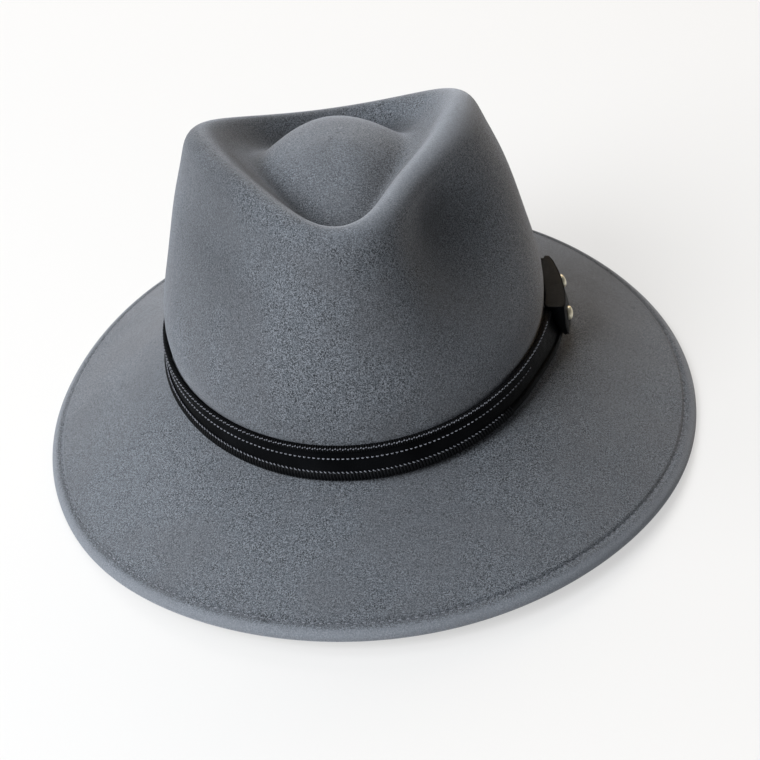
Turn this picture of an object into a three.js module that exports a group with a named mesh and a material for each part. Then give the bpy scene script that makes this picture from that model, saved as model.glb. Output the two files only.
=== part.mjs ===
// A grey felt hat with a pinched teardrop crown, a sloping brim with a thick welted edge, and a black
// leather band closed by a riveted tab at the wearer's left.
// Millimetres, +Z up, the hat's front at -Y, the wearer's left at +X, the surface it rests on at z = 0.
// Angles round the hat run from the front over the wearer's left to the back.
import * as THREE from 'three';

const COLUMNS = 56; // divisions round the hat
const STEPS = 2; // rings from one row of a table to the next
const FELT = 2.2; // thickness of the felt

// The felt body
const BREAK = { front: [100.3, 36.8], side: [83.3, 41], back: [100.3, 29.3] }; // the fold: [reach, height]
const BRIM_REACH = { front: 168.2, left: 147.6, right: 149, back: 171 }; // the wearer's left and right
const BRIM_TURN = { right: 4.5, left: 2.4 }; // degrees by which the brim's oval stands askew to the crown
const BRIM_ASIDE = 0.8; // how far its middle lies to the wearer's left of the crown's
const BRIM_TOP = { front: 10.2, side: 3.0, back: 6.8 }; // height of the top face at the brim's edge
const REST_SPAN = 0.3; // cosine of the angle up to which the sides of the edge lie on the surface
const BRIM_SAG = { front: 0.85, side: 1.1, back: 0.85 }; // above 1 the brim levels out towards the edge
const BRIM_ROWS = [0.09, 0.26, 0.5, 0.74]; // parts of the way from the fold to the edge
const BRIM_LIP = 0.97; // part of the way from which the brim runs straight on to its edge
const PINCH_LEAN = 0.6; // how much a pinch presses rearwards compared with sideways

// The two side pinches, the wearer's left one the deeper: degrees from the front to the middle of each,
// degrees from there to where it has all but died away, and its share of the depth in the crown's rows.
const PINCH = {
  right: { angle: 66, spread: 30, share: 0.55 },
  left: { angle: 52, spread: 28, share: 1.05 },
};

// Rows of the crown from its middle down to the fold. Each place is [reach, height]; pinch is the depth of
// the side dents and taper draws the oval out into a teardrop with its point at the front.
const CROWN = [
  { row: 'middle', front: [0, 140.5], side: [0, 140.5], back: [0, 140.5], pinch: 0, taper: 0 },
  { row: 'cap', front: [13, 137.5], side: [8.5, 139.7], back: [17, 140], pinch: 0, taper: 0.1 },
  { row: 'mound', front: [30, 131.5], side: [19, 136], back: [32, 134], pinch: 0.5, taper: 0.26 },
  { row: 'foot', front: [47, 124], side: [27, 131], back: [44, 119], pinch: 1.5, taper: 0.38 },
  { row: 'groove', front: [56, 122], side: [32, 129.5], back: [50.5, 110.5], pinch: 2.5, taper: 0.41 },
  { row: 'inner wall', front: [63, 128.5], side: [38, 133], back: [55, 112.5], pinch: 3.5, taper: 0.41 },
  { row: 'lip', front: [68, 136], side: [45, 140.3], back: [60, 118], pinch: 4, taper: 0.39 },
  { row: 'crest', front: [73.5, 139.5], side: [52, 145], back: [65.5, 121], pinch: 4.5, taper: 0.35 },
  { row: 'brow', front: [79.5, 137], side: [59, 142.5], back: [72.5, 117.5], pinch: 5.5, taper: 0.3 },
  { row: 'shoulder', front: [84, 128], side: [65, 133.5], back: [79, 109.5], pinch: 12, taper: 0.22 },
  { row: 'upper', front: [90, 107.5], side: [74.5, 113], back: [88, 93], pinch: 19.5, taper: 0.1 },
  { row: 'belly', front: [96, 81], side: [81.5, 85], back: [95.5, 72], pinch: 7, taper: 0.02 },
  { row: 'over the band', front: [99.7, 60.5], side: [84, 64.7], back: [99.7, 52.8], pinch: 0, taper: 0 },
  { row: 'band top', front: [99.7, 52.8], side: [83.5, 57], back: [99.7, 45.3], pinch: 0, taper: 0 },
  { row: 'band foot', front: [100.3, 42.3], side: [83.3, 46.5], back: [100.3, 34.8], pinch: 0, taper: 0 },
  { row: 'fold', front: [101.3, 37.9], side: [84.3, 42.1], back: [101.3, 30.4], pinch: 0, taper: 0 },
];

// The brim's edge in section: distance in from the edge and height over the top face there. A stitched
// groove runs round inside a thick rolled welt whose flap is turned under.
const WELT = [
  { at: 'top face', inward: 9, up: 0 },
  { at: 'groove inside', inward: 8, up: -0.05 },
  { at: 'groove floor', inward: 6.7, up: -0.6 },
  { at: 'groove outside', inward: 5.4, up: -0.05 },
  { at: 'roll top', inward: 3.2, up: 0 },
  { at: 'roll shoulder', inward: 1.2, up: -0.6 },
  { at: 'roll face', inward: 0.1, up: -2 },
  { at: 'roll low', inward: 0.15, up: -3.6 },
  { at: 'roll under', inward: 1.2, up: -4.8 },
  { at: 'flap', inward: 3.2, up: -5.2 },
  { at: 'flap inner', inward: 6.2, up: -5.1 },
  { at: 'flap end', inward: 7.4, up: -3.9 },
  { at: 'brim underside', inward: 9, up: -2.2 },
];

// The leather band in section: distance out from the crown's wall and height over the fold. Where its two
// ends lap at the wearer's left, each place stands further out by lap.
const BAND = [
  { at: 'inner top', out: 0.45, up: 15.5, lap: 0 },
  { at: 'top roll', out: 1.2, up: 16.5, lap: 0.2 },
  { at: 'top roll face', out: 2.5, up: 16.1, lap: 0.5 },
  { at: 'top roll foot', out: 2.8, up: 14.9, lap: 0.8 },
  { at: 'strap upper', out: 2.4, up: 14.1, lap: 1 },
  { at: 'strap lower', out: 2.6, up: 5.9, lap: 3.8 },
  { at: 'foot roll top', out: 3.5, up: 5.1, lap: 4 },
  { at: 'foot roll face', out: 4.2, up: 3.4, lap: 4 },
  { at: 'foot roll under', out: 3.6, up: 1.7, lap: 3.9 },
  { at: 'foot roll inside', out: 2.2, up: 1.3, lap: 3 },
  { at: 'inner foot', out: 0.95, up: 3.2, lap: 0 },
];
const LAP = { starts: 54, full: 80, wanes: 94, ends: 104 }; // degrees round from the front

// The tab folded over the strap's top edge and riveted over its lapped ends: sections along it from its
// front end, each with how far it hangs down, the distances of its outer face from the crown's wall at its
// top and foot, and how near the wall its folded part comes. Its inner face lies along the band.
const TAB_ANGLE = 87.3; // degrees round from the front to its middle
const TAB_TOP = 18.2; // height of its folded top over the fold of the felt
const TAB_GAP = 0.45; // clearance between its inner face and the band
const TAB_FOLD = 1.3; // thickness of the part that lies over the strap's top edge
const TAB = [
  { along: -21.5, high: 11, top: 9.3, foot: 9.6, inward: 2.4 },
  { along: -20.2, high: 14.2, top: 9.6, foot: 10.2, inward: 1.2 },
  { along: -17, high: 16.4, top: 9.8, foot: 10.6, inward: 0.7 },
  { along: -8, high: 16.9, top: 9.4, foot: 11.2, inward: 0.7 },
  { along: 0, high: 16.9, top: 8.9, foot: 11.6, inward: 0.7 },
  { along: 6, high: 16.9, top: 8.5, foot: 11.8, inward: 0.8 },
  { along: 11, high: 16.9, top: 8.1, foot: 11.8, inward: 1.2 },
  { along: 15.5, high: 16.3, top: 7.7, foot: 10.9, inward: 2.4 },
  { along: 18, high: 14.6, top: 7.3, foot: 9.6, inward: 3.6 },
  { along: 19.6, high: 12, top: 6.9, foot: 8.3, inward: 4.4 },
  { along: 20.3, high: 9.5, top: 6.5, foot: 7.4, inward: 4.8 },
];
const TAB_EDGE = 1.7; // how far its long edges are rounded over
const TAB_BEVEL = 0.3; // part of that by which the corner in the middle of the rounding stands in
const RIVETS = [
  { name: 'rivet_front', along: -12.4 },
  { name: 'rivet_rear', along: 12 },
];
const RIVET_DROP = 9.6; // how far the middle of each lies below the tab's top
const RIVET_GAP = 0.5; // clearance between a rivet's head and the tab
const RIVET_SIDES = 18;
const RIVET_SECTION = [[0, 0], [2.9, 0], [3.05, 0.45], [2.7, 1.1], [1.7, 1.6], [0, 1.8]];

const FELT_GREY = new THREE.MeshStandardMaterial({ color: 0x6d7178, roughness: 0.95, metalness: 0 });
const BLACK_LEATHER = new THREE.MeshStandardMaterial({ color: 0x141415, roughness: 0.5, metalness: 0 });
const PALE_BRASS = new THREE.MeshStandardMaterial({ color: 0xcfc6a4, roughness: 0.35, metalness: 1 });

const mix = (a, b, part) => a + (b - a) * part;
const angleAt = (column) => (2 * Math.PI * column) / COLUMNS;

// Value at an angle of something given at the front, side and back
function blend(values, angle) {
  const cos = Math.cos(angle);
  const end = cos > 0 ? values.front : values.back;
  return mix(values.side, end, cos * cos);
}

// Share of a row's pinch depth at an angle
function pinchShare(angle) {
  const degrees = THREE.MathUtils.radToDeg(Math.acos(Math.cos(angle)));
  const [right, left] = [PINCH.right, PINCH.left].map(
    (side) => side.share * Math.exp(-(((degrees - side.angle) / side.spread) ** 2)),
  );
  return mix(right, left, (1 + Math.sin(angle)) / 2);
}

// Point of a crown row at an angle
function crownPoint(row, angle) {
  const sin = Math.sin(angle);
  const cos = Math.cos(angle);
  const reach = (cos > 0 ? row.front : row.back)[0];
  const height = blend({ front: row.front[1], side: row.side[1], back: row.back[1] }, angle);
  const press = new THREE.Vector2(sin, -PINCH_LEAN * cos).normalize();
  press.multiplyScalar(row.pinch * pinchShare(angle));
  const x = row.side[0] * sin * (1 - row.taper * cos) - press.x;
  return new THREE.Vector3(x, -reach * cos - press.y, height);
}

// Place of the fold line at an angle, and the level way outwards there
function foldPoint(angle) {
  return crownPoint({ ...BREAK, pinch: 0, taper: 0 }, angle);
}

function outwards(angle) {
  const reach = BREAK.front[0];
  return new THREE.Vector3(Math.sin(angle) * reach, -Math.cos(angle) * BREAK.side[0], 0).normalize();
}

function brimEdge(angle) {
  const cos = Math.cos(angle);
  const lift = THREE.MathUtils.smoothstep(Math.abs(cos), REST_SPAN, 1);
  const reach = cos > 0 ? BRIM_REACH.front : BRIM_REACH.back;
  const end = cos > 0 ? BRIM_TOP.front : BRIM_TOP.back;
  const sin = Math.sin(angle);
  const edge = new THREE.Vector3((sin > 0 ? BRIM_REACH.left : BRIM_REACH.right) * sin, -reach * cos, 0);
  const turn = mix(BRIM_TURN.right, BRIM_TURN.left, Math.max(sin, 0) ** 2);
  edge.applyAxisAngle(new THREE.Vector3(0, 0, 1), THREE.MathUtils.degToRad(turn));
  edge.x += BRIM_ASIDE;
  edge.z = mix(BRIM_TOP.side, end, lift);
  return edge;
}

// Point of the brim's top face, a part of the way from the fold to the edge
function brimPoint(angle, part) {
  const sag = blend(BRIM_SAG, angle);
  const fold = foldPoint(angle);
  const edge = brimEdge(angle);
  const point = fold.clone().lerp(edge, part);
  point.z = mix(fold.z, edge.z, sag * part + (1 - sag) * part * part);
  return point;
}

function weltPoint(angle, place) {
  const edge = brimEdge(angle);
  const along = edge.clone().sub(brimPoint(angle, BRIM_LIP)).normalize();
  const level = new THREE.Vector3(along.x, along.y, 0).normalize();
  const up = new THREE.Vector3(0, 0, 1).multiplyScalar(Math.hypot(along.x, along.y));
  up.addScaledVector(level, -along.z);
  const point = edge.addScaledVector(along, -place.inward).addScaledVector(up, place.up);
  point.z = Math.max(point.z, 0);
  return point;
}

// Second derivatives of a natural cubic spline through values at knots
function splineBends(knots, values) {
  const last = knots.length - 1;
  const factor = new Array(last + 1).fill(0);
  const bends = new Array(last + 1).fill(0);
  for (let i = 1; i < last; i++) {
    const before = knots[i] - knots[i - 1];
    const after = knots[i + 1] - knots[i];
    const turn = (values[i + 1] - values[i]) / after - (values[i] - values[i - 1]) / before;
    const pivot = 2 * (before + after) - before * factor[i - 1];
    factor[i] = after / pivot;
    bends[i] = (6 * turn - before * bends[i - 1]) / pivot;
  }
  for (let i = last - 1; i > 0; i--) {
    bends[i] -= factor[i] * bends[i + 1];
  }
  return bends;
}

// Rings through rows of points, with STEPS rings for each row, smooth from row to row
function throughRows(rows) {
  const knots = [0];
  for (let i = 1; i < rows.length; i++) {
    const gaps = rows[i].map((point, column) => point.distanceTo(rows[i - 1][column]));
    knots.push(knots[i - 1] + gaps.reduce((sum, gap) => sum + gap) / gaps.length);
  }
  const count = (rows.length - 1) * STEPS + 1;
  const rings = Array.from({ length: count }, () => rows[0].map(() => new THREE.Vector3()));
  for (let column = 0; column < COLUMNS; column++) {
    for (const axis of ['x', 'y', 'z']) {
      const values = rows.map((row) => row[column][axis]);
      const bends = splineBends(knots, values);
      for (let ring = 0; ring < count; ring++) {
        const i = Math.min(Math.floor(ring / STEPS), rows.length - 2);
        const span = knots[i + 1] - knots[i];
        const right = ring / STEPS - i;
        const left = 1 - right;
        const curve = (left ** 3 - left) * bends[i] + (right ** 3 - right) * bends[i + 1];
        rings[ring][column][axis] = left * values[i] + right * values[i + 1] + (curve * span * span) / 6;
      }
    }
  }
  return rings;
}

function ringOf(pointAt) {
  return Array.from({ length: COLUMNS }, (_, column) => pointAt(angleAt(column)));
}

// The rings pushed inwards through the felt, the first and last left out
function offsetRings(rings, depth) {
  return rings.slice(1, -1).map((ring, index) =>
    ring.map((point, column) => {
      const inner = rings[index][column];
      const outer = rings[index + 2][column];
      const next = ring[(column + 1) % COLUMNS];
      const previous = ring[(column + COLUMNS - 1) % COLUMNS];
      const normal = outer.clone().sub(inner).cross(next.clone().sub(previous)).normalize();
      return point.clone().addScaledVector(normal, -depth);
    }),
  );
}

// A closed body from rings of points, from one pole to another or, with no poles, round and round
function bodyFromRings(rings, firstPole, lastPole) {
  const points = rings.flat();
  const faces = [];
  const size = rings[0].length;
  const closed = firstPole === undefined;
  const spans = closed ? rings.length : rings.length - 1;
  for (let i = 0; i < spans; i++) {
    const here = i * size;
    const there = ((i + 1) % rings.length) * size;
    for (let j = 0; j < size; j++) {
      const next = (j + 1) % size;
      faces.push(here + j, there + j, there + next);
      faces.push(here + j, there + next, here + next);
    }
  }
  if (!closed) {
    const first = points.push(firstPole) - 1;
    const final = points.push(lastPole) - 1;
    const lastRing = spans * size;
    for (let j = 0; j < size; j++) {
      const next = (j + 1) % size;
      faces.push(first, j, next);
      faces.push(final, lastRing + next, lastRing + j);
    }
  }
  const geometry = new THREE.BufferGeometry().setFromPoints(points);
  geometry.setIndex(faces);
  geometry.computeVertexNormals();
  return geometry;
}

function feltBody() {
  const rows = CROWN.map((row) => ringOf((angle) => crownPoint(row, angle)));
  for (const part of BRIM_ROWS) {
    rows.push(ringOf((angle) => brimPoint(angle, part)));
  }
  rows.push(ringOf((angle) => weltPoint(angle, WELT[0])));
  const skin = throughRows(rows);
  const welt = WELT.slice(1).map((place) => ringOf((angle) => weltPoint(angle, place)));
  const lining = offsetRings(skin, FELT).reverse();
  const top = skin[0][0];
  const rings = [...skin.slice(1), ...welt, ...lining];
  return bodyFromRings(rings, top, top.clone().setZ(top.z - FELT));
}

// Point out from the crown's wall where the band lies; the wall runs straight from its foot to the band's top
function wallPoint(angle, out, up) {
  const rows = Object.fromEntries(CROWN.map((row) => [row.row, crownPoint(row, angle)]));
  const fold = foldPoint(angle);
  const foot = rows['band foot'];
  const head = rows['band top'];
  const part = (fold.z + up - foot.z) / (head.z - foot.z);
  const point = foot.clone().lerp(head, part);
  return point.addScaledVector(outwards(angle), out);
}

// How much of the lap there is at an angle, from 0 to 1
function lapShare(angle) {
  const degrees = THREE.MathUtils.radToDeg(angle);
  const rise = THREE.MathUtils.smoothstep(degrees, LAP.starts, LAP.full);
  return rise * (1 - THREE.MathUtils.smoothstep(degrees, LAP.wanes, LAP.ends));
}

function bandOut(place, angle) {
  return place.out + place.lap * lapShare(angle);
}

function hatBand() {
  const rings = BAND.map((place) => ringOf((angle) => wallPoint(angle, bandOut(place, angle), place.up)));
  return bodyFromRings(rings);
}

// How far out the band's face stands at a height over the fold
function bandFace(angle, up) {
  const [top, foot] = ['top roll foot', 'foot roll face'].map((at) => BAND.find((place) => place.at === at));
  return mix(bandOut(foot, angle), bandOut(top, angle), (up - foot.up) / (top.up - foot.up));
}

function tabAngle(along) {
  return THREE.MathUtils.degToRad(TAB_ANGLE) + along / BREAK.front[0];
}

// Point of the tab's section, its height given from the tab's top
function tabPoint(along, out, up) {
  return wallPoint(tabAngle(along), out, TAB_TOP + up);
}

// Corners of the tab's section: up its outer face, in over the strap's top edge and down its inner face
function tabSection(row) {
  const { along, high, top, foot, inward } = row;
  const inner = (up) => bandFace(tabAngle(along), TAB_TOP + up) + TAB_GAP;
  const edge = Math.min(TAB_EDGE, (foot - inner(-high)) / 2);
  const slack = edge * TAB_BEVEL;
  const round = TAB_FOLD * TAB_BEVEL;
  const corners = [
    [foot, edge - high],
    [top, -edge],
    [top - slack, -slack],
    [top - edge, 0],
    [inward + round, 0],
    [inward, -round],
    [inward, -TAB_FOLD],
    [inner(-TAB_FOLD), -TAB_FOLD],
    [inner(edge - high), edge - high],
    [inner(-high) + slack, -high],
    [foot - edge, -high],
    [foot - slack, slack - high],
  ];
  return corners.map(([out, up]) => tabPoint(along, out, up));
}

function sideTab() {
  const [front, rear] = [TAB[0], TAB[TAB.length - 1]].map(({ along, top }) => {
    const inner = bandFace(tabAngle(along), TAB_TOP) + TAB_GAP;
    return tabPoint(along, (inner + top) / 2, -TAB_FOLD / 2);
  });
  return bodyFromRings(TAB.map(tabSection), front, rear);
}

// Point of the tab's outer face, its height given from the tab's top
function tabFace(along, up) {
  const next = TAB.findIndex((row) => row.along > along);
  const [before, after] = [TAB[next - 1], TAB[next]];
  const part = (along - before.along) / (after.along - before.along);
  const rise = 1 + up / mix(before.high, after.high, part);
  const out = mix(mix(before.foot, after.foot, part), mix(before.top, after.top, part), rise);
  return tabPoint(along, out, up);
}

// A rivet's head, square to the tab's face under it
function rivet({ along }) {
  const radius = Math.max(...RIVET_SECTION.map(([reach]) => reach));
  const section = RIVET_SECTION.map(([reach, height]) => new THREE.Vector2(reach, height));
  const head = new THREE.LatheGeometry(section, RIVET_SIDES);
  const run = tabFace(along + radius, -RIVET_DROP).sub(tabFace(along - radius, -RIVET_DROP));
  const rise = tabFace(along, radius - RIVET_DROP).sub(tabFace(along, -radius - RIVET_DROP));
  const outward = run.cross(rise).normalize();
  const seat = tabFace(along, -RIVET_DROP).addScaledVector(outward, RIVET_GAP);
  head.applyQuaternion(new THREE.Quaternion().setFromUnitVectors(new THREE.Vector3(0, 1, 0), outward));
  return head.translate(seat.x, seat.y, seat.z);
}

const PIECES = [
  { name: 'felt_body', geometry: feltBody(), material: FELT_GREY },
  { name: 'hat_band', geometry: hatBand(), material: BLACK_LEATHER },
  { name: 'side_tab', geometry: sideTab(), material: BLACK_LEATHER },
  ...RIVETS.map((row) => ({ name: row.name, geometry: rivet(row), material: PALE_BRASS })),
];

// The hat stands with the middle of its brim over the origin
const extent = new THREE.Box3().setFromBufferAttribute(PIECES[0].geometry.getAttribute('position'));
const centre = extent.getCenter(new THREE.Vector3());

const hat = new THREE.Group();
for (const piece of PIECES) {
  const mesh = new THREE.Mesh(piece.geometry.translate(-centre.x, -centre.y, 0), piece.material);
  mesh.name = piece.name;
  hat.add(mesh);
}

export default hat;
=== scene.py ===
import math

import bpy
import numpy as np
from mathutils import Matrix, Vector


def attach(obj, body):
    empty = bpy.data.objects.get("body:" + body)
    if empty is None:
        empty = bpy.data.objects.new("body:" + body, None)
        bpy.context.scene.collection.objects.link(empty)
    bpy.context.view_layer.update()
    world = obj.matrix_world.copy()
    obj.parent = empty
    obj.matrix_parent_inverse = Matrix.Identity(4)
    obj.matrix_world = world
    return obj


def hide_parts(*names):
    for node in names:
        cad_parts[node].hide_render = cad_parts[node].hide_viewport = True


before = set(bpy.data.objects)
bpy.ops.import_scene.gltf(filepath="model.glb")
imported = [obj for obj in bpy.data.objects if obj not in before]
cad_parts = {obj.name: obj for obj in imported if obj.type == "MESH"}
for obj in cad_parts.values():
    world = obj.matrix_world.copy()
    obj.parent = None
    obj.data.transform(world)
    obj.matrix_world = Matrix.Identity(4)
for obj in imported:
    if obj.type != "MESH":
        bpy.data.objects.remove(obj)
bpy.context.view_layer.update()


# The felt body. Crown and brim are one piece of soft felt, steamed and pulled over a wooden block, then
# pinched at the front by hand. The brim's edge is turned under and sewn down, which leaves a thick round
# roll with a narrow groove inside it.
FELT = 2.2
FELT_COLUMNS = 300
FELT_STEPS = 5

# The fold between crown and brim: reach and height. Then how far the brim's edge reaches, how many degrees
# its oval stands askew to the crown, how far its middle lies to the wearer's left, and the height of its top
# face there. The sides of the edge lie on the surface up to the angle whose cosine is REST_SPAN.
FOLD = {"front": (100.3, 36.8), "side": (83.3, 41.0), "back": (100.3, 29.3)}
BRIM_REACH = {"front": 168.2, "left": 147.6, "right": 149.0, "back": 171.0}
BRIM_TURN = {"right": 4.5, "left": 2.4}
BRIM_ASIDE = 0.8
BRIM_TOP = {"front": 10.2, "side": 3.0, "back": 6.8}
REST_SPAN = 0.3

# Above 1 the brim levels out towards its edge. Its rows are parts of the way from the fold to the edge, and
# from the lip on it runs straight.
BRIM_SAG = {"front": 0.85, "side": 1.1, "back": 0.85}
BRIM_ROWS = (0.09, 0.26, 0.5, 0.74)
BRIM_LIP = 0.97

# The side pinches: degrees from the front to the middle of each and from there to where it has all but died
# away, and its share of the depth in the crown's rows. The lean is how much a pinch presses rearwards
# compared with sideways.
PINCH = {
    "right": {"angle": 66.0, "spread": 30.0, "share": 0.55},
    "left": {"angle": 52.0, "spread": 28.0, "share": 1.05},
}
PINCH_LEAN = 0.6

# Rows of the crown from its middle down to the fold: reach and height at the front, the side and the
# back, then the depth of the side pinches and the taper towards the front
CROWN = {
    "middle": ((0, 140.5), (0, 140.5), (0, 140.5), 0, 0),
    "cap": ((13, 137.5), (8.5, 139.7), (17, 140), 0, 0.1),
    "mound": ((30, 131.5), (19, 136), (32, 134), 0.5, 0.26),
    "foot": ((47, 124), (27, 131), (44, 119), 1.5, 0.38),
    "groove": ((56, 122), (32, 129.5), (50.5, 110.5), 2.5, 0.41),
    "inner wall": ((63, 128.5), (38, 133), (55, 112.5), 3.5, 0.41),
    "lip": ((68, 136), (45, 140.3), (60, 118), 4, 0.39),
    "crest": ((73.5, 139.5), (52, 145), (65.5, 121), 4.5, 0.35),
    "brow": ((79.5, 137), (59, 142.5), (72.5, 117.5), 5.5, 0.3),
    "shoulder": ((84, 128), (65, 133.5), (79, 109.5), 12, 0.22),
    "upper": ((90, 107.5), (74.5, 113), (88, 93), 19.5, 0.1),
    "belly": ((96, 81), (81.5, 85), (95.5, 72), 7, 0.02),
    "over the band": ((99.7, 60.5), (84, 64.7), (99.7, 52.8), 0, 0),
    "band top": ((99.7, 52.8), (83.5, 57), (99.7, 45.3), 0, 0),
    "band foot": ((100.3, 42.3), (83.3, 46.5), (100.3, 34.8), 0, 0),
    "fold": ((101.3, 37.9), (84.3, 42.1), (101.3, 30.4), 0, 0),
}

# The brim's edge in section: distance in from the edge and height over the top face
WELT = [
    (9.0, 0.0), (8.0, -0.05), (6.7, -0.6), (5.4, -0.05), (3.2, 0.0), (1.2, -0.6), (0.1, -2.0),
    (0.15, -3.6), (1.2, -4.8), (3.2, -5.2), (6.2, -5.1), (7.4, -3.9), (9.0, -2.2),
]


def ring_angles(count):
    return np.arange(count) * 2 * np.pi / count


def smoothstep(value, low, high):
    part = np.clip((value - low) / (high - low), 0, 1)
    return part * part * (3 - 2 * part)


def at_front_side_back(front, side, back, angles):
    cos = np.cos(angles)
    return side + (np.where(cos > 0, front, back) - side) * cos**2


def pinch_shape(angles):
    """How far the side pinches press in, about 1 at the most: the wearer's left one is the deeper."""
    degrees = np.degrees(np.arccos(np.clip(np.cos(angles), -1, 1)))
    right, left = (
        side["share"] * np.exp(-(((degrees - side["angle"]) / side["spread"]) ** 2))
        for side in (PINCH["right"], PINCH["left"])
    )
    return right + (left - right) * (1 + np.sin(angles)) / 2


def crown_point(row, angles):
    front, side, back, pinch, taper = row
    sin, cos = np.sin(angles), np.cos(angles)
    press = np.stack([sin, -PINCH_LEAN * cos])
    press *= pinch * pinch_shape(angles) / np.linalg.norm(press, axis=0)
    x = side[0] * sin * (1 - taper * cos) - press[0]
    y = -np.where(cos > 0, front[0], back[0]) * cos - press[1]
    return np.stack([x, y, at_front_side_back(front[1], side[1], back[1], angles)], axis=-1)


def fold_point(angles):
    return crown_point((FOLD["front"], FOLD["side"], FOLD["back"], 0, 0), angles)


def brim_edge(angles):
    sin, cos = np.sin(angles), np.cos(angles)
    x = np.where(sin > 0, BRIM_REACH["left"], BRIM_REACH["right"]) * sin
    y = -np.where(cos > 0, BRIM_REACH["front"], BRIM_REACH["back"]) * cos
    turn = BRIM_TURN["right"] + (BRIM_TURN["left"] - BRIM_TURN["right"]) * np.maximum(sin, 0) ** 2
    turn = np.radians(turn)
    lift = smoothstep(np.abs(cos), REST_SPAN, 1)
    end = np.where(cos > 0, BRIM_TOP["front"], BRIM_TOP["back"])
    return np.stack([
        x * np.cos(turn) - y * np.sin(turn) + BRIM_ASIDE,
        x * np.sin(turn) + y * np.cos(turn),
        BRIM_TOP["side"] + (end - BRIM_TOP["side"]) * lift,
    ], axis=-1)


def brim_point(angles, part):
    fold, edge = fold_point(angles), brim_edge(angles)
    sag = at_front_side_back(BRIM_SAG["front"], BRIM_SAG["side"], BRIM_SAG["back"], angles)
    point = fold + (edge - fold) * part
    point[..., 2] = fold[..., 2] + (edge - fold)[..., 2] * (sag * part + (1 - sag) * part * part)
    return point


def unit(vectors):
    return vectors / np.linalg.norm(vectors, axis=-1, keepdims=True)


def welt_point(angles, inward, up):
    edge = brim_edge(angles)
    along = unit(edge - brim_point(angles, BRIM_LIP))
    level = unit(along * (1, 1, 0))
    rise = -along[..., 2:] * level + np.array((0, 0, 1)) * np.hypot(along[..., 0], along[..., 1])[..., None]
    point = edge - along * inward + rise * up
    point[..., 2] = np.maximum(point[..., 2], 0)
    return point


def spline_through(rows, steps, knots=None):
    """Rows of points drawn through by a natural cubic spline, with steps to each row."""
    rows = np.asarray(rows, float)
    flat = rows.reshape(len(rows), -1)
    if knots is None:
        gaps = np.linalg.norm(np.diff(rows, axis=0), axis=-1).reshape(len(rows) - 1, -1).mean(axis=1)
        knots = np.concatenate([[0], np.cumsum(gaps)])
    spans = np.diff(knots)
    turns = np.zeros_like(flat)
    turns[1:-1] = 6 * np.diff(np.diff(flat, axis=0) / spans[:, None], axis=0)
    bands = np.eye(len(rows))
    for i in range(1, len(rows) - 1):
        bands[i, i - 1:i + 2] = spans[i - 1], 2 * (spans[i - 1] + spans[i]), spans[i]
    bends = np.linalg.solve(bands, turns)
    place = np.linspace(0, len(rows) - 1, (len(rows) - 1) * steps + 1)
    i = np.minimum(place.astype(int), len(rows) - 2)
    right = (place - i)[:, None]
    left = 1 - right
    curve = (left**3 - left) * bends[i] + (right**3 - right) * bends[i + 1]
    drawn = left * flat[i] + right * flat[i + 1] + curve * spans[i][:, None] ** 2 / 6
    return drawn.reshape(-1, *rows.shape[1:])


def ring_normals(rings):
    """Outward normals of rings of points that run outwards from a pole, all but the first and last."""
    outward = rings[2:] - rings[:-2]
    around = np.roll(rings[1:-1], -1, axis=1) - np.roll(rings[1:-1], 1, axis=1)
    return unit(np.cross(outward, around))


def ring_faces(count, size, closed):
    """Quads between rings of points, from the last ring back to the first where it is closed."""
    i = np.arange(count if closed else count - 1)[:, None]
    j = np.arange(size)[None, :]
    here, there, following = i * size, ((i + 1) % count) * size, (j + 1) % size
    quads = np.stack([here + j, there + j, there + following, here + following], axis=-1)
    return quads.reshape(-1, 4).tolist()


def add_piece(name, points, faces, finish):
    """A smooth piece in metres from points in millimetres, riding on the hat."""
    mesh = bpy.data.meshes.new(name)
    mesh.from_pydata((np.asarray(points).reshape(-1, 3) / 1000).tolist(), [], faces)
    mesh.shade_smooth()
    mesh.materials.append(finish)
    piece = bpy.data.objects.new(name, mesh)
    bpy.context.scene.collection.objects.link(piece)
    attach(piece, "root")
    return piece


class Shade:
    """A socket in a finish's nodes that takes part in sums."""

    def __init__(self, tree, socket=None):
        self.tree = tree
        self.socket = socket

    def node(self, kind, settings=None, values=None, out=0):
        made = self.tree.nodes.new(kind)
        for name, value in (settings or {}).items():
            setattr(made, name, value)
        for name, value in (values or {}).items():
            if isinstance(value, Shade):
                self.tree.links.new(value.socket, made.inputs[name])
            else:
                made.inputs[name].default_value = value
        return Shade(self.tree, made.outputs[out] if len(made.outputs) else None)

    def sum_of(self, operation, first, second):
        return self.node("ShaderNodeMath", {"operation": operation}, {0: first, 1: second})

    def __add__(self, other):
        return self.sum_of("ADD", self, other)

    def __radd__(self, other):
        return self.sum_of("ADD", other, self)

    def __sub__(self, other):
        return self.sum_of("SUBTRACT", self, other)

    def __rsub__(self, other):
        return self.sum_of("SUBTRACT", other, self)

    def __mul__(self, other):
        return self.sum_of("MULTIPLY", self, other)

    def __rmul__(self, other):
        return self.sum_of("MULTIPLY", other, self)

    def between(self, low, high):
        """0 below low, 1 above high, and smooth in between."""
        return self.node(
            "ShaderNodeMapRange",
            {"interpolation_type": "SMOOTHSTEP"},
            {"Value": self, "From Min": low, "From Max": high},
        )

    def blend(self, first, second):
        """A colour that goes from first to second as this value goes from 0 to 1."""
        return self.node(
            "ShaderNodeMix", {"data_type": "RGBA"}, {0: self, 6: first, 7: second}, out=2
        )


def new_finish(name):
    material = bpy.data.materials.new(name)
    material.use_nodes = True
    material.node_tree.nodes.clear()
    return material, Shade(material.node_tree)


def set_surface(shade, values):
    surface = shade.node("ShaderNodeBsdfPrincipled", None, values)
    shade.node("ShaderNodeOutputMaterial", None, {"Surface": surface})


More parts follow.
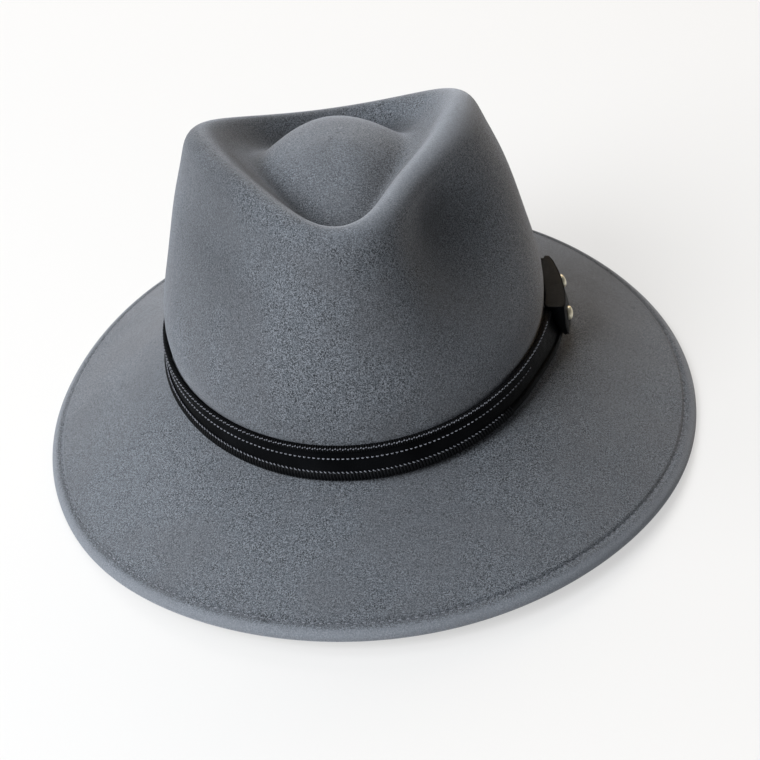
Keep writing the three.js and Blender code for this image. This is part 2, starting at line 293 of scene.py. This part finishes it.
def noise(shade, coords, scale, detail=2.0, roughness=0.5):
    return shade.node(
        "ShaderNodeTexNoise", None,
        {"Vector": coords, "Scale": scale, "Detail": detail, "Roughness": roughness},
    )


# The felt's fibres, dark and pale, which are also the colours of its painted shade and painted highlights,
# the haze that patches of them have, the cloudy stretches, and the sheen of the nap
FELT_DARK = (0.005, 0.006, 0.007, 1)
FELT_PALE = (0.200, 0.215, 0.240, 1)
FELT_HAZE = (0.095, 0.107, 0.122, 1)
FELT_CLOUD = (0.078, 0.080, 0.087, 1)
FELT_SHEEN = (0.80, 0.84, 0.92, 1)

felt_finish, shade = new_finish("grey_melange_felt")
coords = shade.node("ShaderNodeTexCoord", out=3)
fleck = noise(shade, coords, 2300, 1, 0.7)
speckle = noise(shade, coords, 1300, 2, 0.7)
mottle = noise(shade, coords, 230, 3, 0.6)
cloud = noise(shade, coords, 28, 2)
waves = noise(shade, coords, 19, 1)
# The map of brushed nap, painted highlights and painted shade, kept on the felt's points
nap_and_painted_light = shade.node("ShaderNodeAttribute", {"attribute_name": "nap_and_painted_light"}, out=2)
grain = (fleck * 0.6 + speckle * 0.4).between(0.36, 0.68)
melange = grain.blend(FELT_DARK, FELT_PALE)
melange = (mottle.between(0.35, 0.7) * 0.35).blend(melange, FELT_HAZE)
melange = (cloud.between(0.42, 0.62) * 0.35).blend(melange, FELT_CLOUD)
# Painted light: above 0.5 the map pales the felt, partly for brushed nap and partly as a painted highlight;
# below 0.5 it darkens it as painted shade
melange = (nap_and_painted_light.between(0.5, 1.0) * 0.6).blend(melange, FELT_PALE)
melange = ((1 - nap_and_painted_light).between(0.5, 1.0) * 0.5).blend(melange, FELT_DARK)
relief = fleck * 0.6 + speckle * 0.4 + mottle * 0.6
bump = shade.node("ShaderNodeBump", None, {"Strength": 0.6, "Distance": 0.0005, "Height": relief})
bump = shade.node("ShaderNodeBump", None, {
    "Strength": 0.5, "Distance": 0.004, "Height": waves, "Normal": bump,
})
set_surface(shade, {
    "Base Color": melange, "Roughness": 0.95, "Normal": bump, "Specular IOR Level": 0.12,
    "Sheen Weight": 0.4, "Sheen Roughness": 0.42, "Sheen Tint": FELT_SHEEN,
})

# How pale the felt is made, from 0 to 1, by row of the crown, by row of the brim and by place in the edge's
# section;
# 0.5 leaves it as it is. It is high on the dome, the crest and the roll, partly for the nap brushed up where
# the hat is handled and partly as a painted highlight. It is low in the dent round the dome and in the welt's
# groove, where it is painted shade. The felt's inner face stays a little below 0.5.
NAP_AND_PAINTED_LIGHT_CROWN = {
    "middle": 0.72, "mound": 0.66, "groove": 0.42, "inner wall": 0.38, "lip": 0.58, "crest": 0.8,
    "brow": 0.66, "shoulder": 0.52, "belly": 0.5, "band foot": 0.47,
}
NAP_AND_PAINTED_LIGHT_BRIM = {1: 0.55, 2: 0.6}
NAP_AND_PAINTED_LIGHT_EDGE = {0: 0.58, 1: 0.5, 2: 0.28, 3: 0.55, 4: 0.85, 5: 1.0, 6: 1.0, 7: 0.85, 8: 0.6, 9: 0.5}
NAP_AND_PAINTED_LIGHT_INSIDE = 0.45
NAP_AND_PAINTED_LIGHT_MIDDLES = (0.55, 0.45)

# Where the crest and the trough lie among the crown's rows, and what share of each change a row takes. The
# crest gets a painted highlight at the wearer's left and painted shade at the right and the back, the trough
# gets painted shade at the right and the back, and the pinches get painted shade, most where they are
# deepest.
CREST_PAINTED_LIGHT = {"rows": (5, 6.5, 8, 9.5), "share": (0, 1, 1, 0), "left": 0.35, "back": -0.5}
TROUGH_PAINTED_SHADE = {"rows": (2.5, 4.2, 6), "share": (0, 1, 0), "right": -0.3, "back": -0.4}
PINCH_PAINTED_SHADE = 0.6

# The felt's inner face keeps all its first rows, next to the brim's edge, and then every second one. Of its
# last rows, which crowd at the middle, it keeps only the very last.
INNER_FINE = 12
INNER_CROWDED = 3


def felt_rings(angles, steps):
    """The felt's outer face from its middle to the welt, and the welt from there to the underside."""
    rows = [crown_point(row, angles) for row in CROWN.values()]
    rows += [brim_point(angles, part) for part in BRIM_ROWS]
    rows.append(welt_point(angles, *WELT[0]))
    welt = [welt_point(angles, *place) for place in spline_through(WELT, steps)[1:]]
    return spline_through(rows, steps), np.array(welt)


felt_angles = ring_angles(FELT_COLUMNS)
skin, welt = felt_rings(felt_angles, FELT_STEPS)
middle = skin[0, :1]
inner = (skin[1:-1] - ring_normals(skin) * FELT)[::-1]
inner_rows = np.concatenate([
    np.arange(INNER_FINE), np.arange(INNER_FINE, len(inner) - INNER_CROWDED, 2), [len(inner) - 1],
])
rings = np.concatenate([skin[1:], welt, inner[inner_rows]])
CENTRE = (rings.reshape(-1, 3).max(axis=0) + rings.reshape(-1, 3).min(axis=0)) / 2 * (1, 1, 0)
points = np.concatenate([rings.reshape(-1, 3), middle, middle - (0, 0, FELT)]) - CENTRE
faces = ring_faces(len(rings), FELT_COLUMNS, closed=False)
following = np.roll(np.arange(FELT_COLUMNS), -1)
last = (len(rings) - 1) * FELT_COLUMNS
top, under = len(points) - 2, len(points) - 1
faces += [(top, j, k) for j, k in enumerate(following)]
faces += [(under, last + k, last + j) for j, k in enumerate(following)]
felt_body = add_piece("felt_hat_body", points, faces, felt_finish)

rows = (np.arange(len(skin)) / FELT_STEPS)[:, None]
crown_rows = [list(CROWN).index(name) for name in NAP_AND_PAINTED_LIGHT_CROWN] + [len(CROWN) + k for k in NAP_AND_PAINTED_LIGHT_BRIM]
pinches = np.array([row[3] for row in CROWN.values()])
depth = np.interp(rows, np.arange(len(CROWN)), pinches) / pinches.max()
crest = np.interp(rows, CREST_PAINTED_LIGHT["rows"], CREST_PAINTED_LIGHT["share"])
trough = np.interp(rows, TROUGH_PAINTED_SHADE["rows"], TROUGH_PAINTED_SHADE["share"])
left, right = np.sin(felt_angles), np.maximum(-np.sin(felt_angles), 0)
back = np.maximum(-np.cos(felt_angles), 0)
nap_and_painted_light = np.interp(rows, crown_rows, list(NAP_AND_PAINTED_LIGHT_CROWN.values()) + list(NAP_AND_PAINTED_LIGHT_BRIM.values()))
# Painted shade in the pinches, a painted highlight and painted shade along the crest, and painted shade in
# the trough
nap_and_painted_light = nap_and_painted_light - PINCH_PAINTED_SHADE * depth * pinch_shape(felt_angles)
crest_painted_light = (CREST_PAINTED_LIGHT["left"] * left + CREST_PAINTED_LIGHT["back"] * back) * crest
trough_painted_shade = (TROUGH_PAINTED_SHADE["right"] * right + TROUGH_PAINTED_SHADE["back"] * back) * trough
nap_and_painted_light = nap_and_painted_light + crest_painted_light + trough_painted_shade
welt_rows = np.arange(1, len(welt) + 1) / FELT_STEPS
# The welt: painted shade in its groove, and a paler roll, partly brushed nap and partly a painted highlight
edge = np.interp(welt_rows, list(NAP_AND_PAINTED_LIGHT_EDGE), list(NAP_AND_PAINTED_LIGHT_EDGE.values()))
edge = np.tile(edge[:, None], FELT_COLUMNS)
inside = np.full(len(inner_rows) * FELT_COLUMNS, NAP_AND_PAINTED_LIGHT_INSIDE)
values = np.concatenate([nap_and_painted_light[1:].ravel(), edge.ravel(), inside, NAP_AND_PAINTED_LIGHT_MIDDLES])
# The painted highlights and painted shade, with the brushed nap, go onto the felt's points
felt_body.data.attributes.new("nap_and_painted_light", "FLOAT", "POINT").data.foreach_set("value", values)
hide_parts("felt_body")


# The welt's stitches. A grey thread is sewn through the brim in the groove, which holds the turned edge
# down: short running stitches, drawn into the felt, that show above and below.
WELT_STITCHES = 260
WELT_STITCH = {"long": 2.6, "radius": 0.28, "upper": (6.6, -0.75), "lower": (6.1, -5.2)}

# From end to end of a stitch: how far it stands over its place, and its shares of the radius
WELT_DIP = np.array((-0.25, 0.05, 0.15, 0.05, -0.25))
WELT_TAPER = np.array((0.4, 0.9, 1, 0.9, 0.4))

# A rough radius, which turns a stitch's length into an angle
BRIM_RADIUS = 150
THREAD_SIDES = 6
THREAD_DARK = (0.09, 0.095, 0.11, 1)
THREAD_PALE = (0.24, 0.25, 0.28, 1)


def sweep(paths, radii, sides, aside):
    """Threads along paths that all have the same number of points, closed at both ends. aside is a
    direction for each path that it never runs along."""
    along = unit(np.gradient(paths, axis=1))
    aside = aside[:, None, :]
    across = unit(aside - (aside * along).sum(axis=-1, keepdims=True) * along)
    other = np.cross(along, across)
    turn = ring_angles(sides)
    radii = np.asarray(radii)[None, :, None, None]
    circle = np.cos(turn)[:, None] * across[:, :, None, :] + np.sin(turn)[:, None] * other[:, :, None, :]
    points = paths[:, :, None, :] + radii * circle
    count, length = paths.shape[:2]
    one = ring_faces(length, sides, closed=False)
    one = [face[::-1] for face in one]
    one.append(list(range(sides))[::-1])
    one.append([(length - 1) * sides + i for i in range(sides)])
    faces = [[v + k * length * sides for v in face] for k in range(count) for face in one]
    return points.reshape(-1, 3), faces


thread_finish, shade = new_finish("grey_thread")
coords = shade.node("ShaderNodeTexCoord", out=3)
twist = noise(shade, coords, 2500, 1)
bump = shade.node("ShaderNodeBump", None, {"Strength": 0.6, "Distance": 0.0002, "Height": twist})
set_surface(shade, {
    "Base Color": twist.between(0.3, 0.7).blend(THREAD_DARK, THREAD_PALE),
    "Roughness": 0.75, "Normal": bump, "Specular IOR Level": 0.3,
})


def welt_stitches(place, dip):
    """Stitches round the welt at a place in its section. dip is how far each point stands over it."""
    inward, up = place
    spread = WELT_STITCH["long"] / 2 / BRIM_RADIUS * np.linspace(-1, 1, len(dip))
    angles = ring_angles(WELT_STITCHES)[:, None] + spread
    paths = [welt_point(angles[:, i], inward, up + dip[i]) for i in range(len(dip))]
    return np.stack(paths, axis=1) - CENTRE


upper = welt_stitches(WELT_STITCH["upper"], WELT_DIP)
lower = welt_stitches(WELT_STITCH["lower"], -WELT_DIP)
lower[..., 2] = np.maximum(lower[..., 2], WELT_STITCH["radius"])
paths = np.concatenate([upper, lower])
aside = np.tile((0, 0, 1.0), (len(paths), 1))
radii = WELT_STITCH["radius"] * WELT_TAPER
welt_thread = add_piece("welt_stitches", *sweep(paths, radii, THREAD_SIDES, aside), thread_finish)


# The band. A strap of smooth black leather lies round the foot of the crown. Both its edges are overcast
# with thread, and its ends lap at the wearer's left, where the strap is doubled and stands further out.
BAND_COLUMNS = 360
CORNER_STEPS = 4
BAND = [
    (0.45, 15.5, 0), (1.2, 16.5, 0.2), (2.5, 16.1, 0.5), (2.8, 14.9, 0.8), (2.4, 14.1, 1), (2.6, 5.9, 3.8),
    (3.5, 5.1, 4), (4.2, 3.4, 4), (3.6, 1.7, 3.9), (2.2, 1.3, 3), (0.95, 3.2, 0),
]
LAP = {"starts": 54.0, "full": 80.0, "wanes": 94.0, "ends": 104.0}
LEATHER_DARK = (0.0014, 0.0016, 0.002, 1)
LEATHER_WORN = (0.003, 0.0033, 0.004, 1)


def outwards(angles):
    aside, ahead = np.sin(angles) * FOLD["front"][0], np.cos(angles) * FOLD["side"][0]
    return unit(np.stack([aside, -ahead, np.zeros_like(angles)], axis=-1))


def wall_point(angles, out, up):
    """Point out from the crown's wall at a height over the fold."""
    foot, head = crown_point(CROWN["band foot"], angles), crown_point(CROWN["band top"], angles)
    rise = fold_point(angles)[..., 2] + up - foot[..., 2]
    part = (rise / (head - foot)[..., 2])[..., None]
    return foot + (head - foot) * part + outwards(angles) * np.asarray(out)[..., None] - CENTRE


def lap_share(angles):
    degrees = np.degrees(angles) % 360
    rise = smoothstep(degrees, LAP["starts"], LAP["full"])
    return rise * (1 - smoothstep(degrees, LAP["wanes"], LAP["ends"]))


def round_loop(corners, steps):
    """Corners of a closed section rounded off, with steps to each side."""
    corners = np.asarray(corners, float)
    before, after, beyond = (np.roll(corners, k, axis=0) for k in (1, -1, -2))
    t = (np.arange(steps) / steps)[None, :, None]
    a, b, c, d = (side[:, None, :] for side in (before, corners, after, beyond))
    curve = 2 * b + (c - a) * t + (2 * a - 5 * b + 4 * c - d) * t**2 + (3 * b - a - 3 * c + d) * t**3
    return (curve / 2).reshape(-1, corners.shape[1])


leather_finish, shade = new_finish("black_leather")
coords = shade.node("ShaderNodeTexCoord", out=3)
pores = shade.node("ShaderNodeTexVoronoi", {"feature": "DISTANCE_TO_EDGE"}, {"Vector": coords, "Scale": 1100})
creases = noise(shade, coords, 300, 3, 0.6)
wear = noise(shade, coords, 45, 2)
relief = pores.between(0, 0.25) * 0.5 + creases * 0.8
bump = shade.node("ShaderNodeBump", None, {"Strength": 0.35, "Distance": 0.0003, "Height": relief})
set_surface(shade, {
    "Base Color": wear.between(0.4, 0.7).blend(LEATHER_DARK, LEATHER_WORN),
    "Roughness": creases.between(0.3, 0.7) * 0.12 + 0.42, "Normal": bump, "Specular IOR Level": 0.03,
})

band_angles = ring_angles(BAND_COLUMNS)
band_section = round_loop(BAND, CORNER_STEPS)
band_rings = np.array([
    wall_point(band_angles, out + lap * lap_share(band_angles), up) for out, up, lap in band_section
])
band_faces = ring_faces(len(band_rings), BAND_COLUMNS, closed=True)
band = add_piece("leather_band", band_rings, band_faces, leather_finish)
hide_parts("hat_band")


# The band's overcast edges. Fine black thread is wound over the strap's top and foot edges, one turn
# beside another, and a grey thread catches the turns in a row of small stitches beside each edge.
WAXED_DARK = (0.002, 0.0022, 0.0028, 1)
WAXED_PALE = (0.006, 0.0064, 0.0075, 1)

# A rough radius, which turns a length along the band into an angle, and what share of its own radius a turn
# of thread keeps at its ends
BAND_RADIUS = 92
WHIP_ENDS = 0.6
WHIP_TOP = {
    "turns": 520, "slant": 0.4, "radius": 0.24, "lap": (0.2, 0.8), "plain_from": 78,
    "section": [
        (0.8, 15.5), (0.75, 16.2), (1.2, 16.85), (2.1, 16.75), (2.65, 16.1), (2.85, 15.4), (2.6, 14.8),
    ],
}
WHIP_FOOT = {
    "turns": 400, "slant": 1.1, "radius": 0.34, "lap": (3.8, 3.0), "plain_from": 44,
    "section": [(2.9, 5.6), (3.6, 5.0), (4.15, 4.1), (4.25, 3.2), (3.8, 1.9), (2.9, 1.25), (2.2, 1.4)],
}
CATCH_TOP = {
    "count": 520, "up": 16.2, "out": 2.75, "lap": 0.5, "long": 0.6, "radius": 0.24, "rise": 0.3,
    "stagger": 0.4, "plain_from": 70,
}
CATCH_FOOT = {
    "count": 300, "up": 5.35, "out": 3.35, "lap": 3.9, "long": 1.3, "radius": 0.23, "rise": -0.75,
    "stagger": 0, "plain_from": 40,
}

# From end to end of a stitch, in shares of its radius: how far it stands out, and its own radius
STITCH_STANDS = np.array((-0.8, 0.1, 0.4, 0.1, -0.8))
STITCH_TAPER = np.array((0.5, 0.95, 1, 0.95, 0.5))

# The strap's end, which lies over the lap in front of the tab, is plain: each row runs out at its
# plain_from, in degrees from the front, and goes on from here, under the tab
PLAIN_TO = 82


def sewn_angles(count, plain_from):
    """Places of stitches round the band, without those on the strap's plain end."""
    angles = ring_angles(count)
    return angles[(angles < np.radians(plain_from)) | (angles > np.radians(PLAIN_TO))]


def whip(turns, slant, radius, lap, section, plain_from):
    """Turns of thread over an edge of the band. slant is how far a turn runs along the edge."""
    section = np.array(section)
    along = np.linspace(-0.5, 0.5, len(section)) * slant / BAND_RADIUS
    angles = sewn_angles(turns, plain_from)[:, None] + along
    laps = np.linspace(*lap, len(section)) * lap_share(angles)
    paths = wall_point(angles, section[:, 0] + laps, np.broadcast_to(section[:, 1], angles.shape))
    aside = np.cross(outwards(angles[:, 0]), (0, 0, 1.0))
    radii = radius * np.concatenate([[WHIP_ENDS], np.ones(len(section) - 2), [WHIP_ENDS]])
    return sweep(paths, radii, THREAD_SIDES, aside)


def stitch_row(count, up, out, lap, long, radius, rise, stagger, plain_from):
    """Short stitches in a row round the band. rise is how much an end stands over the other and stagger
    how much every second stitch stands over its neighbours."""
    along = np.linspace(-0.5, 0.5, len(STITCH_STANDS))
    places = sewn_angles(count, plain_from)[:, None]
    angles = places + along * long / BAND_RADIUS
    height = up + along * rise + (np.arange(len(places))[:, None] % 2) * stagger
    stands = out + lap * lap_share(angles) + radius * STITCH_STANDS
    paths = wall_point(angles, stands, height)
    aside = np.tile((0, 0, 1.0), (len(places), 1))
    return sweep(paths, radius * STITCH_TAPER, THREAD_SIDES, aside)


black_thread, shade = new_finish("waxed_black_thread")
coords = shade.node("ShaderNodeTexCoord", out=3)
twist = noise(shade, coords, 1800, 1)
bump = shade.node("ShaderNodeBump", None, {"Strength": 0.5, "Distance": 0.0002, "Height": twist})
set_surface(shade, {
    "Base Color": twist.between(0.3, 0.7).blend(WAXED_DARK, WAXED_PALE),
    "Roughness": 0.55, "Normal": bump, "Specular IOR Level": 0.1,
})
overcast = {
    "band_top_overcast": (whip(**WHIP_TOP), black_thread),
    "band_foot_overcast": (whip(**WHIP_FOOT), black_thread),
    "band_top_catch": (stitch_row(**CATCH_TOP), thread_finish),
    "band_foot_catch": (stitch_row(**CATCH_FOOT), thread_finish),
}
for name, ((thread_points, thread_faces), finish) in overcast.items():
    add_piece(name, thread_points, thread_faces, finish)


# The band's running stitches. One line of the grey thread runs round the strap a little above its middle, in
# short stitches that stand a little out of the leather.
RUNNING = {
    "count": 270, "up": 11.6, "out": 2.6, "lap": 1.9, "long": 1.2, "radius": 0.27, "rise": 0,
    "stagger": 0, "plain_from": 56,
}

running_stitches = add_piece("band_running_stitches", *stitch_row(**RUNNING), thread_finish)


# The tab. Black leather folded over the strap's top edge and its lapped ends at the wearer's left, and
# closed by two rivets.
TAB_STEPS = 5
TAB_ANGLE = 87.3
TAB_TOP = 18.2
TAB_GAP = 0.45
TAB_FOLD = 1.3
TAB_EDGE = 1.7
TAB_BEVEL = 0.3
TAB_BANDS = (4.2, 3.4, 4), (2.8, 14.9, 0.8)

# Rows of the tab: place along the band, height, how far out from the crown's wall the outer face stands at
# the top and at the foot, and how far out the fold begins
TAB = [
    (-21.5, 11, 9.3, 9.6, 2.4), (-20.2, 14.2, 9.6, 10.2, 1.2), (-17, 16.4, 9.8, 10.6, 0.7),
    (-8, 16.9, 9.4, 11.2, 0.7), (0, 16.9, 8.9, 11.6, 0.7), (6, 16.9, 8.5, 11.8, 0.8),
    (11, 16.9, 8.1, 11.8, 1.2), (15.5, 16.3, 7.7, 10.9, 2.4), (18, 14.6, 7.3, 9.6, 3.6),
    (19.6, 12, 6.9, 8.3, 4.4), (20.3, 9.5, 6.5, 7.4, 4.8),
]


def tab_angle(along):
    return np.radians(TAB_ANGLE) + np.asarray(along) / FOLD["front"][0]


def band_face(angles, up):
    foot, top = TAB_BANDS
    share = lap_share(angles)
    low, high = foot[0] + foot[2] * share, top[0] + top[2] * share
    return low + (high - low) * (up - foot[1]) / (top[1] - foot[1])


def tab_section(along, high, top, foot, inward):
    angle = tab_angle(along)

    def inner(up):
        return band_face(angle, TAB_TOP + up) + TAB_GAP

    edge = min(TAB_EDGE, (foot - inner(-high)) / 2)
    slack = edge * TAB_BEVEL
    soft = TAB_FOLD * TAB_BEVEL
    corners = [
        (foot, edge - high), (top, -edge), (top - slack, -slack), (top - edge, 0), (inward + soft, 0),
        (inward, -soft), (inward, -TAB_FOLD), (inner(-TAB_FOLD), -TAB_FOLD),
        (inner(edge - high), edge - high), (inner(-high) + slack, -high), (foot - edge, -high),
        (foot - slack, slack - high),
    ]
    loop = round_loop(corners, CORNER_STEPS)
    return wall_point(np.full(len(loop), angle), loop[:, 0], TAB_TOP + loop[:, 1])


tab_rows = spline_through(np.array(TAB)[:, 1:], TAB_STEPS, knots=np.array(TAB)[:, 0])
tab_places = np.interp(np.arange(len(tab_rows)) / TAB_STEPS, np.arange(len(TAB)), np.array(TAB)[:, 0])
tab_rings = np.array([tab_section(along, *row) for along, row in zip(tab_places, tab_rows)])
tab_size = tab_rings.shape[1]
tab_faces = ring_faces(len(tab_rings), tab_size, closed=False)
tab_faces.append(list(range(tab_size)))
tab_faces.append([(len(tab_rings) - 1) * tab_size + i for i in reversed(range(tab_size))])
tab = add_piece("leather_tab", tab_rings, tab_faces, leather_finish)
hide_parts("side_tab")


# The rivets. Two pale brass heads, turned and a little dull, stand on the tab's outer face and clench its
# layers.
RIVETS = {"rivet_front": -12.4, "rivet_rear": 12.0}
RIVET_SIDES = 48
RIVET_SECTION = [(3.0, -0.4), (3.05, 0.1), (3.05, 0.5), (2.8, 1.0), (2.25, 1.4), (1.4, 1.7), (0.6, 1.85)]
RIVET_REACH = 3
RIVET_DROP = 9.6
RIVET_GAP = 0.3
BRASS_PALE = (0.86, 0.82, 0.66, 1)
BRASS_DULL = (0.66, 0.60, 0.44, 1)


def tab_face(along, up):
    rows = np.array(TAB)
    high, top, foot = (np.interp(along, rows[:, 0], rows[:, k]) for k in (1, 2, 3))
    out = foot + (top - foot) * (1 + up / high)
    return wall_point(tab_angle(along), out, TAB_TOP + up)


brass_finish, shade = new_finish("pale_brass")
coords = shade.node("ShaderNodeTexCoord", out=3)
tarnish = noise(shade, coords, 500, 3, 0.6)
bump = shade.node("ShaderNodeBump", None, {"Strength": 0.15, "Distance": 0.0002, "Height": tarnish})
set_surface(shade, {
    "Base Color": tarnish.between(0.3, 0.75).blend(BRASS_PALE, BRASS_DULL),
    "Metallic": 0.6, "Roughness": tarnish.between(0.2, 0.8) * 0.15 + 0.4, "Normal": bump,
})

for name, along in RIVETS.items():
    run = tab_face(along + RIVET_REACH, -RIVET_DROP) - tab_face(along - RIVET_REACH, -RIVET_DROP)
    rise = tab_face(along, RIVET_REACH - RIVET_DROP) - tab_face(along, -RIVET_REACH - RIVET_DROP)
    outward = unit(np.cross(run, rise))
    run = unit(run)
    across = np.cross(outward, run)
    turn = ring_angles(RIVET_SIDES)[:, None]
    seat = tab_face(along, -RIVET_DROP) + outward * RIVET_GAP
    rings = [seat + outward * lift + reach * (np.cos(turn) * run + np.sin(turn) * across)
             for reach, lift in RIVET_SECTION]
    rivet_faces = ring_faces(len(rings), RIVET_SIDES, closed=False)
    rivet_faces = [face[::-1] for face in rivet_faces]
    rivet_faces.append(list(reversed(range(RIVET_SIDES))))
    rivet_faces.append([(len(rings) - 1) * RIVET_SIDES + i for i in range(RIVET_SIDES)])
    rivet = add_piece(name + "_head", np.array(rings), rivet_faces, brass_finish)
    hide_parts(name)


# The surface that the hat stands on. It is a plain pale sheet, and it glows a little, which keeps the
# shadows on it pale.
FLOOR = 16.0
FLOOR_COOL = (0.265, 0.265, 0.265, 1)
FLOOR_WARM = (0.275, 0.27, 0.265, 1)
FLOOR_GLOW = (1, 0.998, 0.993, 1)
FLOOR_GLOWS = 0.56

floor_finish, shade = new_finish("pale_floor")
coords = shade.node("ShaderNodeTexCoord", out=3)
tint = noise(shade, coords, 0.8, 1)
set_surface(shade, {
    "Base Color": tint.between(0.2, 0.8).blend(FLOOR_COOL, FLOOR_WARM),
    "Roughness": 0.9, "Specular IOR Level": 0.1,
    "Emission Color": FLOOR_GLOW, "Emission Strength": FLOOR_GLOWS,
})
corners = np.array([(-1, -1, 0), (1, -1, 0), (1, 1, 0), (-1, 1, 0)]) * FLOOR / 2
mesh = bpy.data.meshes.new("pale_floor")
mesh.from_pydata(corners.tolist(), [], [(0, 1, 2, 3)])
mesh.materials.append(floor_finish)
floor = bpy.data.objects.new("pale_floor", mesh)
bpy.context.scene.collection.objects.link(floor)


# The light: a bright room with windows at the left, the strongest at the left front, pale walls and a
# ceiling, and a warm lamp low behind on the right. Each is a round soft box: its place in metres, its power
# in watts and its colour.
LIGHTS = [
    ("window left front", (-1.2, -1.2, 1.4), 60.0, (0.97, 1.0, 1.03)),
    ("window high left", (-1.5, 0.0, 1.6), 15.0, (0.96, 1.0, 1.04)),
    ("window low left", (-2.1, 0.0, 0.7), 5.0, (0.96, 1.0, 1.04)),
    ("window left behind", (-1.5, 1.5, 0.7), 10.0, (0.97, 1.0, 1.03)),
    ("ceiling", (0.0, 0.0, 2.2), 5.0, (1.0, 1.0, 1.0)),
    ("back wall", (0.0, 1.6, 1.5), 20.0, (1.0, 0.99, 0.97)),
    ("warm lamp", (1.0, 1.8, 0.8), 15.0, (1.0, 0.74, 0.46)),
]
LAMP_ACROSS = 1.3
AIM = Vector((0, 0, 0.05))
SURROUNDINGS = 0.02

for name, place, power, colour in LIGHTS:
    lamp = bpy.data.lights.new(name, "AREA")
    lamp.shape = "DISK"
    lamp.size = LAMP_ACROSS
    lamp.energy = power
    lamp.color = colour
    box = bpy.data.objects.new(name, lamp)
    box.location = place
    box.rotation_euler = (AIM - box.location).to_track_quat("-Z", "Y").to_euler()
    bpy.context.scene.collection.objects.link(box)

world = bpy.data.worlds.new("white surroundings")
world.use_nodes = True
world.node_tree.nodes["Background"].inputs["Color"].default_value = (1, 1, 1, 1)
world.node_tree.nodes["Background"].inputs["Strength"].default_value = SURROUNDINGS
bpy.context.scene.world = world
bpy.context.scene.view_settings.view_transform = "Standard"
bpy.context.scene.view_settings.look = "None"


# The camera. It looks at the hat's front from above, at the photograph's angle and with its roll. Angles are
# in degrees, lengths in metres, and the lens and its frame in millimetres.
CAMERA = {
    "azimuth": 0.9, "elevation": 34.5, "roll": 8.2, "distance": 0.9, "aim": (0, -0.0029, 0.017),
    "lens": 93.55, "frame": 36, "shift": (0.0189, -0.0007), "nearest": 0.05,
}

azimuth, elevation, roll = (math.radians(CAMERA[key]) for key in ("azimuth", "elevation", "roll"))
back = Vector((
    math.sin(azimuth) * math.cos(elevation), -math.cos(azimuth) * math.cos(elevation), math.sin(elevation),
))
right = Vector((math.cos(azimuth), math.sin(azimuth), 0))
up = back.cross(right)
rolled_right = right * math.cos(roll) - up * math.sin(roll)
rolled_up = right * math.sin(roll) + up * math.cos(roll)
turned = Matrix((rolled_right, rolled_up, back)).transposed().to_4x4()
lens = bpy.data.cameras.new("camera")
lens.sensor_width = CAMERA["frame"]
lens.lens = CAMERA["lens"]
lens.shift_x, lens.shift_y = CAMERA["shift"]
lens.clip_start = CAMERA["nearest"]
camera = bpy.data.objects.new("camera", lens)
camera.matrix_world = Matrix.Translation(Vector(CAMERA["aim"]) + back * CAMERA["distance"]) @ turned
bpy.context.scene.collection.objects.link(camera)
bpy.context.scene.camera = camera
